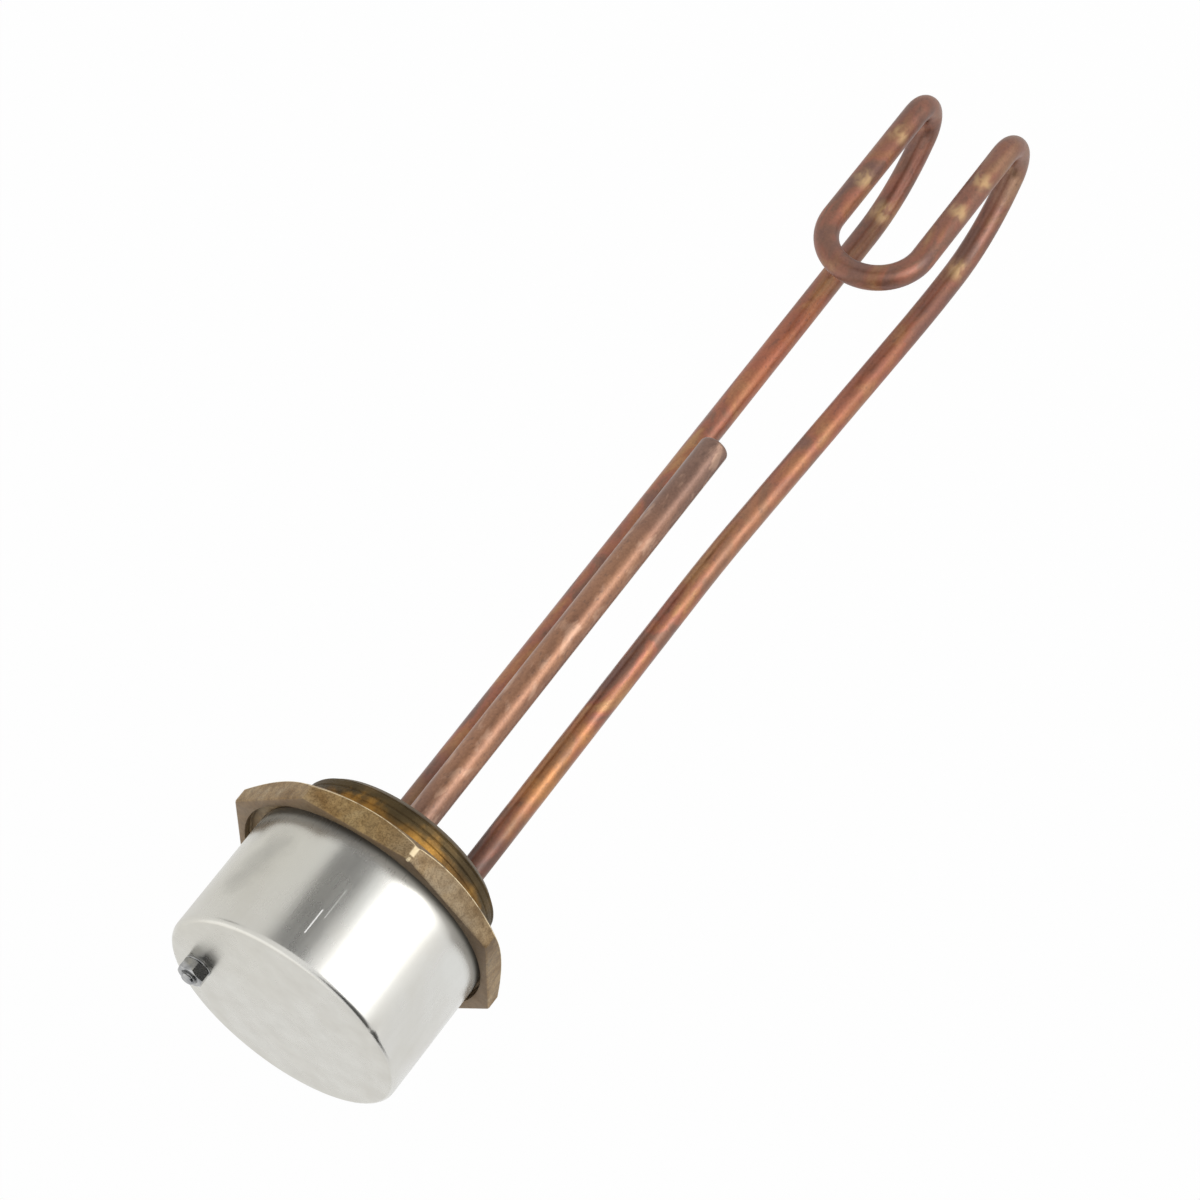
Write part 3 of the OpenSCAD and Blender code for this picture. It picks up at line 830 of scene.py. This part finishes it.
def make_boss(finish):
    """Boss as one skin of rings, from the middle of its wet side to the middle of its well."""
    angles = full_turn(FLANGE_SIDES * FACET_STEPS, FLANGE_TURN)
    rings = [[(0, 0, WEB_LOW)]]
    wear_and_painted_light = [0.0]

    def add(radius, z, wear_and_light_level=0.0):
        rings.append(ring(radius, z, angles))
        wear_and_painted_light.extend([wear_and_light_level] * len(angles))

    # Wet side and lip of the spigot
    add(WET_R - WET_FILLET, WEB_LOW)
    add(WET_R - WET_FILLET / 4, WEB_LOW - WET_FILLET / 4)
    add(WET_R, WEB_LOW - WET_FILLET)
    add(WET_R, SPIGOT_Z + LIP_EASE)
    add(WET_R + LIP_EASE, SPIGOT_Z)
    # Lead-in, thread and relief groove
    add(THREAD_R - THREAD_LEAD * LEAD_SLOPE - LEAD_STEP, SPIGOT_Z)
    count = int((-SPIGOT_Z - THREAD_RELIEF) / THREAD_PITCH * THREAD_LEVELS)
    for k in range(count + 1):
        z = SPIGOT_Z + LEAD_STEP + k * THREAD_PITCH / THREAD_LEVELS
        add(thread_radius(z), z)
    add(THREAD_ROOT, -THREAD_RELIEF + RELIEF_EASE)
    add(THREAD_ROOT, -RELIEF_FILLET)
    add(THREAD_ROOT + RELIEF_FILLET, 0)
    # Sealing face, and chamfered corners with a bare edge that is also a painted highlight
    add(CHAMFER_R - SEAL_EASE, 0)
    add(CHAMFER_R, SEAL_LIFT)
    for cut, inset, lift, least, wear_and_light_level in CHAMFER_EDGE:
        add(lambda a: worn_radius(a, cut) - inset, lambda a: max(least, chamfer_z(a) + lift), wear_and_light_level)
    # Flats, with the worn corner's cut running out towards the top, and top edge with a faint bare line that
    # is also a painted highlight
    for cut, z in WORN_RUNOUT:
        add(lambda a: worn_radius(a, cut), z)
    add(flange_radius, FLANGE_T - TOP_EASE)
    add(lambda a: flange_radius(a) - TOP_EASE_MID, FLANGE_T - TOP_EASE_MID, TOP_EDGE_WEAR_AND_HIGHLIGHT)
    add(lambda a: flange_radius(a) - TOP_EASE, FLANGE_T)
    # Recess for the cover, with painted shade in its corner
    add(RECESS_R + RECESS_EASE, FLANGE_T)
    add(RECESS_R + RECESS_EASE_MID, FLANGE_T - RECESS_EASE_MID)
    add(RECESS_R, FLANGE_T - RECESS_EASE)
    add(RECESS_R, RECESS_Z + RECESS_FILLET, RECESS_SHADE_SIDE)
    add(RECESS_R - RECESS_FILLET, RECESS_Z, RECESS_SHADE_CORNER)
    add(RECESS_R - RECESS_SHADE_REACH, RECESS_Z, RECESS_SHADE_SIDE)
    add(RECESS_R - RECESS_SHADE_END, RECESS_Z)
    # Well
    add(lambda a: well_radius(a) + WELL_EASE, RECESS_Z)
    add(well_radius, RECESS_Z - WELL_EASE)
    add(well_radius, WEB_TOP + WELL_FILLET)
    add(lambda a: well_radius(a) - WELL_FILLET, WEB_TOP)
    rings.append([(0, 0, WEB_TOP)])
    wear_and_painted_light.append(0.0)
    piece("boss_visual", rings, finish, "heater", "boss", wear_and_painted_light=wear_and_painted_light, sharp=30)


# Element: one folded tube from the left leg's mouth to the right leg's
def element_path():
    """Centre line of the folded tube."""
    hook_z = sheath_low.z + TUBE_R + SLOW_R * math.sin(SLOW_TURN)
    hook_z += EASE_LEN * math.cos(SLOW_TURN) + TIGHT_R * (1 - math.sin(SLOW_TURN))
    lean_run = (LEG_LEAN - 2 * LEAN_R * (1 - math.cos(LEAN_TURN))) / math.sin(LEAN_TURN)
    lean_z = hook_z + 2 * LEAN_R * math.sin(LEAN_TURN) + lean_run * math.cos(LEAN_TURN)
    path = [Vector((-LEG_X, LEG_Y, MOUTH_Z))]
    ahead = Vector((0, 0, -1))

    def run(length):
        """Goes on straight."""
        start = path[-1]
        count = max(1, round(length / RUN_STEP))
        path.extend(start + ahead * (length * i / count) for i in range(1, count + 1))

    def bend(radius, turn, towards, step):
        """Turns towards a side, and returns the direction of the bend's middle after it."""
        nonlocal ahead
        start = path[-1]
        towards = Vector(towards)
        count = max(4, round(radius * turn / step))
        for i in range(1, count + 1):
            angle = turn * i / count
            path.append(start + ahead * radius * math.sin(angle) + towards * radius * (1 - math.cos(angle)))
        inward = towards * math.cos(turn) - ahead * math.sin(turn)
        ahead = ahead * math.cos(turn) + towards * math.sin(turn)
        return inward

    run(MOUTH_Z - hook_z)
    inward = bend(SLOW_R, SLOW_TURN, (0, 1, 0), SLOW_STEP)
    run(EASE_LEN)
    bend(TIGHT_R, math.pi - SLOW_TURN, inward, TIGHT_STEP)
    run(RETURN_LEN)
    bend(LEG_X + LEG_LEAN / 2, math.pi, (1, 0, 0), U_STEP)
    run(RETURN_LEN)
    inward = bend(TIGHT_R, math.pi - SLOW_TURN, (0, -1, 0), TIGHT_STEP)
    run(EASE_LEN)
    bend(SLOW_R, SLOW_TURN, inward, SLOW_STEP)
    inward = bend(LEAN_R, LEAN_TURN, (-1, 0, 0), LEAN_STEP)
    run(lean_run)
    bend(LEAN_R, LEAN_TURN, -inward, LEAN_STEP)
    run(MOUTH_Z - lean_z)
    return path


def make_element(finish):
    """Folded tube of the element."""
    rings = sweep(element_path(), TUBE_R, TUBE_SIDES)
    piece("element_visual", rings, finish, "heater", "element_sheath")


def make_pocket(finish):
    """Closed tube that takes the thermostat's rod."""
    low, high = pocket_low.z, pocket_high.z
    corners = [(0, low, 0), (POCKET_R, low, POCKET_ROUND), (POCKET_R, high, MOUTH_ROUND), (0, high, 0)]
    rings = lathe(dense(eased(corners, ROUNDING_STEPS), POCKET_STEP), POCKET_SIDES)
    at = (POCKET_AT.x, POCKET_AT.y, 0)
    piece("pocket_visual", rings, finish, "heater", "thermostat_pocket", at=at)


# Cover: drawn cap with a small knock on its rim, held by one stud and nut
def knocked(point, knock):
    """Point of the cover, pushed in where it lies near the knock."""
    point = Vector(point)
    pull = math.exp(-((point - knock).length / DENT_SIZE) ** 2) * DENT_DEPTH
    out = Vector((point.x, point.y, 0)).normalized()
    point -= (out + Vector((0, 0, DENT_FALL))) * pull
    return tuple(point)


def make_cover(finish):
    """Cap with its knock, its stud hole and its cable hole."""
    low, high = cover_low.z, cover_high.z
    inner = COVER_R - COVER_T
    corners = [
        (0, high - COVER_T, 0), (inner, high - COVER_T, COVER_ROUND - COVER_T), (inner, low, FOOT_ROUND),
        (COVER_R, low, FOOT_ROUND), (COVER_R, high, COVER_ROUND), (0, high, 0),
    ]
    rings = lathe(dense(eased(corners, ROUNDING_STEPS), COVER_STEP), COVER_SIDES)
    knock = Vector((math.cos(DENT_TURN), math.sin(DENT_TURN), 0)) * (COVER_R - DENT_INSET)
    knock.z = high - DENT_DROP
    rings = [[knocked(point, knock) for point in one] for one in rings]
    at = Vector((COVER_AT.x, COVER_AT.y, 0))
    cover = piece("cover_visual", rings, finish, "cover_body", "cover", at=at, sharp=50)
    stud_hole = Vector((STUD_AT.x, STUD_AT.y, high))
    through_end = Vector((0, 0, 5))
    drill(cover, STUD_R + STUD_CLEARANCE, stud_hole - through_end, stud_hole + through_end)
    cable_hole = Vector((COVER_AT.x, COVER_AT.y - COVER_R, CABLE_Z))
    through_side = Vector((0, 8, 0))
    drill(cover, CABLE_HOLE_R, cable_hole + through_side, cable_hole - through_side)


def nut_rings(across_flats, hole, low, high, turn):
    """Rings of a hexagon nut with both ends eased."""
    angles = full_turn(NUT_SIDES, turn)
    face_r = across_flats / 2 - NUT_FACE
    corner_r = across_flats / 2 / math.cos(math.pi / NUT_FLATS)
    rise = (high - low) * NUT_RISE

    def flats(a):
        return polygon_radius(a, NUT_FLATS, across_flats, turn, NUT_CORNER)

    def ease(a):
        return rise * (flats(a) - face_r) / (corner_r - face_r)

    return [
        ring(hole, low + BORE_EASE_LOW, angles), ring(hole + BORE_EASE_LOW, low, angles),
        ring(face_r, low, angles),
        ring(flats, lambda a: low + ease(a), angles), ring(flats, lambda a: high - ease(a), angles),
        ring(face_r, high, angles),
        ring(hole + BORE_EASE_HIGH, high, angles), ring(hole, high - BORE_EASE_HIGH, angles),
    ]


def stud_radius(z):
    """Radius of the stud at a height, as a function of the angle, with its pointed end."""
    cone = STUD_R - max(0, STUD_POINT - (stud_high.z - z))
    return lambda a: min(cone, STUD_ROOT + STUD_DEPTH * thread_wave(z / STUD_PITCH + a / math.tau))


def make_stud(finish):
    """Threaded stud that holds the cover."""
    angles = full_turn(STUD_SIDES)
    length = stud_high.z - stud_low.z
    count = int(length / STUD_PITCH * STUD_LEVELS)
    rings = [[(0, 0, stud_low.z)]]
    for k in range(count + 1):
        z = stud_low.z + length * k / count
        rings.append(ring(stud_radius(z), z, angles))
    rings.append([(0, 0, stud_high.z)])
    at = (STUD_AT.x, STUD_AT.y, 0)
    piece("stud_visual", rings, finish, "heater", "cover_stud", at=at)


def make_fastening(finish):
    """Nut and washer on the cover."""
    at = (STUD_AT.x, STUD_AT.y, 0)
    nut = nut_rings(STUD_NUT_AF, STUD_R + NUT_CLEARANCE, nut_low.z, nut_high.z, STUD_NUT_TURN)
    piece("nut_visual", nut, finish, "cover_body", "cover_nut", at=at, sharp=25, closed=True)
    low, high = washer_low.z, washer_high.z
    outer = (washer_high.x - washer_low.x) / 2
    hole = STUD_R + STUD_CLEARANCE
    corners = [
        (hole, low, WASHER_EASE), (outer, low, WASHER_EASE), (outer, high, WASHER_ROUND),
        (hole, high, WASHER_EASE),
    ]
    rings = lathe(eased(corners, WASHER_STEPS, closed=True), WASHER_SIDES)
    piece("washer_visual", rings, finish, "cover_body", "cover_washer", at=at, closed=True)


# Pieces under the cover: their CAD forms with eased edges
WELD_GAP = 0.001
EASE_ANGLE = math.radians(40)
EASE_STEPS = 2


def dress(finish, *names, ease=0.25):
    """Gives CAD nodes a finish and soft edges."""
    for name in names:
        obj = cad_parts[name]
        obj.data.materials.clear()
        obj.data.materials.append(finish)
        weld = obj.modifiers.new("weld", "WELD")
        weld.merge_threshold = WELD_GAP * MM
        bevel = obj.modifiers.new("ease", "BEVEL")
        bevel.width = ease * MM
        bevel.segments = EASE_STEPS
        bevel.limit_method = "ANGLE"
        bevel.angle_limit = EASE_ANGLE


# Finish, dark and light tone, roughness from and to, size and depth of grain, CAD node, edge easing
MATTER = (
    ("magnesia", (214, 208, 192), (236, 232, 222), 0.8, 0.95, 0.6, 0.03, "element_filling", 0.05),
    ("seal_resin", (196, 184, 158), (222, 212, 190), 0.5, 0.7, 0.7, 0.02, "end_seals", 0.25),
    ("moulding", (34, 32, 31), (50, 47, 45), 0.38, 0.55, 0.5, 0.02, "thermostat_body", 0.6),
    ("red_plastic", (158, 22, 18), (186, 34, 26), 0.35, 0.5, 0.5, 0.015, "thermostat_dial", 0.25),
    ("pale_plastic", (206, 203, 192), (224, 222, 214), 0.35, 0.5, 0.5, 0.015, "reset_button", 0.4),
    ("rubber", (20, 20, 20), (36, 35, 34), 0.6, 0.8, 0.5, 0.03, "cable_grommet", 0.5),
)


# Stage: pale floor, soft light, and dark cards that the metal mirrors. Lengths are in metres
FLOOR_DROP = 0.35
FLOOR_SIDE = 12
FLOOR_GREY = 0.9
FLOOR_WHITE = 0.97
SKY = Vector((0, 0, 9))
WORLD_FILL = 0.75
WORLD_SEEN = 1.0
REACH = 0.95
# Dark cards: azimuth and rise in degrees, width, height and tone
CARDS = (
    (96, -17, 0.6, 0.32, 0.16),
    (14, 24, 0.5, 0.3, 0.1),
    (5, 48, 1.3, 0.65, 0.03),
    (150, 0, 0.3, 0.16, 0.05),
)
CARD_ROUGHNESS = 0.9
# Lamps: name, azimuth and rise in degrees, distance, width, height and level
LAMPS = (
    ("key", 37, -19, REACH, 0.86, 0.65, 1.35),
    ("core", 37, -19, REACH - 0.02, 0.24, 0.65, 2.6),
    ("top", 200, 60, 1.3, 1.2, 1.2, 0.4),
)


def from_object(turn, rise, reach):
    """Point round the object, by azimuth and rise in degrees and distance in metres."""
    turn = math.radians(turn)
    rise = math.radians(rise)
    return Vector((math.cos(turn) * math.cos(rise), math.sin(turn) * math.cos(rise), math.sin(rise))) * reach


def seen_rays(tree):
    """One where a ray comes from the camera, a mirror or glass, and zero elsewhere."""
    path = tree.nodes.new("ShaderNodeLightPath")
    total = path.outputs["Is Camera Ray"]
    for name in ("Is Glossy Ray", "Is Transmission Ray"):
        either = tree.nodes.new("ShaderNodeMath")
        either.operation = "MAXIMUM"
        tree.links.new(total, either.inputs[0])
        tree.links.new(path.outputs[name], either.inputs[1])
        total = either.outputs[0]
    return total


def flat_panel(name, width, height, location, facing, material):
    """Flat stage panel that faces a point."""
    bpy.ops.mesh.primitive_plane_add(size=1)
    panel = bpy.context.object
    panel.name = name
    panel.scale = (width, height, 1)
    panel.location = location
    panel.rotation_euler = (facing - location).to_track_quat("Z", "Y").to_euler()
    panel.data.materials.append(material)
    return panel


def soft_lamp(name, location, width, height, level):
    """Soft box that points at the object. A level of 1 is as bright as the background."""
    lamp = bpy.data.lights.new(name, "AREA")
    lamp.shape = "RECTANGLE"
    lamp.size = width
    lamp.size_y = height
    lamp.energy = level * math.pi * width * height
    obj = bpy.data.objects.new(name, lamp)
    obj.location = location
    obj.rotation_euler = (-location).to_track_quat("-Z", "Y").to_euler()
    obj.visible_camera = False
    bpy.context.scene.collection.objects.link(obj)


def floor_finish():
    """White to the camera and to mirrors, and pale grey to all other light."""
    material = bpy.data.materials.new("floor")
    material.use_nodes = True
    tree = material.node_tree
    tree.nodes.clear()
    matt = tree.nodes.new("ShaderNodeBsdfDiffuse")
    matt.inputs["Color"].default_value = (FLOOR_GREY, FLOOR_GREY, FLOOR_GREY, 1)
    white = tree.nodes.new("ShaderNodeEmission")
    blend = tree.nodes.new("ShaderNodeMixShader")
    share = tree.nodes.new("ShaderNodeMath")
    share.operation = "MULTIPLY"
    share.inputs[1].default_value = FLOOR_WHITE
    tree.links.new(seen_rays(tree), share.inputs[0])
    tree.links.new(share.outputs[0], blend.inputs["Fac"])
    tree.links.new(matt.outputs[0], blend.inputs[1])
    tree.links.new(white.outputs[0], blend.inputs[2])
    out = tree.nodes.new("ShaderNodeOutputMaterial")
    tree.links.new(blend.outputs[0], out.inputs["Surface"])
    return material


def card_finish(level):
    """Matt grey of a dark card."""
    material = bpy.data.materials.new("dark_card")
    material.use_nodes = True
    matt = material.node_tree.nodes["Principled BSDF"]
    matt.inputs["Base Color"].default_value = (level, level, level, 1)
    matt.inputs["Roughness"].default_value = CARD_ROUGHNESS
    return material


def make_world():
    """White surroundings that light the part a little less than they show."""
    world = bpy.data.worlds.new("studio")
    world.use_nodes = True
    tree = world.node_tree
    back = tree.nodes["Background"]
    strength = tree.nodes.new("ShaderNodeMapRange")
    strength.inputs["To Min"].default_value = WORLD_FILL
    strength.inputs["To Max"].default_value = WORLD_SEEN
    tree.links.new(seen_rays(tree), strength.inputs["Value"])
    tree.links.new(strength.outputs["Result"], back.inputs["Strength"])
    back.inputs["Color"].default_value = (1, 1, 1, 1)
    bpy.context.scene.world = world


def make_stage():
    """World, floor, dark cards and lamps."""
    bpy.context.scene.view_settings.view_transform = "Standard"
    make_world()
    drop = Vector((0, 0, cad_bounds[0].z - FLOOR_DROP))
    flat_panel("floor", FLOOR_SIDE, FLOOR_SIDE, drop, SKY, floor_finish())
    for turn, rise, width, height, level in CARDS:
        place = from_object(turn, rise, REACH)
        card = flat_panel("card", width, height, place, Vector(), card_finish(level))
        card.visible_camera = False
        card.visible_diffuse = False
        card.visible_shadow = False
    for name, turn, rise, reach, width, height, level in LAMPS:
        soft_lamp(name, from_object(turn, rise, reach), width, height, level)


# Camera, fitted to the photograph: azimuth and rise in degrees, roll, aim, distance, lens and sensor
VIEW_TURN = 67.2
VIEW_RISE = 27.21
VIEW_ROLL = math.radians(-141.67)
VIEW_AIM = Vector((17.8, 44.2, -92.6)) * MM
VIEW_DISTANCE = 1.3338
VIEW_LENS = 139.51
VIEW_SENSOR = 36
VIEW_CLIP = 0.01


def make_camera():
    """Camera at the photograph's viewing angle."""
    data = bpy.data.cameras.new("camera")
    data.sensor_width = VIEW_SENSOR
    data.lens = VIEW_LENS
    data.clip_start = VIEW_CLIP
    camera = bpy.data.objects.new("camera", data)
    back = from_object(VIEW_TURN, VIEW_RISE, 1)
    upright = (-back).to_track_quat("-Z", "Y").to_matrix().to_4x4()
    rolled = upright @ Matrix.Rotation(VIEW_ROLL, 4, "Z")
    camera.matrix_world = Matrix.Translation(VIEW_AIM + back * VIEW_DISTANCE) @ rolled
    bpy.context.scene.collection.objects.link(camera)
    bpy.context.scene.camera = camera


make_camera()
make_stage()

brass = bright_brass()
zinc = zinc_steel()
steel = pin_steel()
make_boss(cast_brass())
make_element(element_copper())
make_pocket(pocket_copper())
make_cover(cover_sheet())
make_stud(zinc)
make_fastening(zinc)
dress(brass, "pin_washers", "pin_nuts", "link_strap", "terminal_blocks", "thermostat_rod")
dress(brass, "earth_screw", "earth_washer")
dress(steel, "cold_pins", "terminal_screws")
dress(zinc, "stud_locknut")
for name, dark, light, rough_low, rough_high, size, depth, node, ease in MATTER:
    dress(plain_matter(name, dark, light, rough_low, rough_high, size, depth), node, ease=ease)
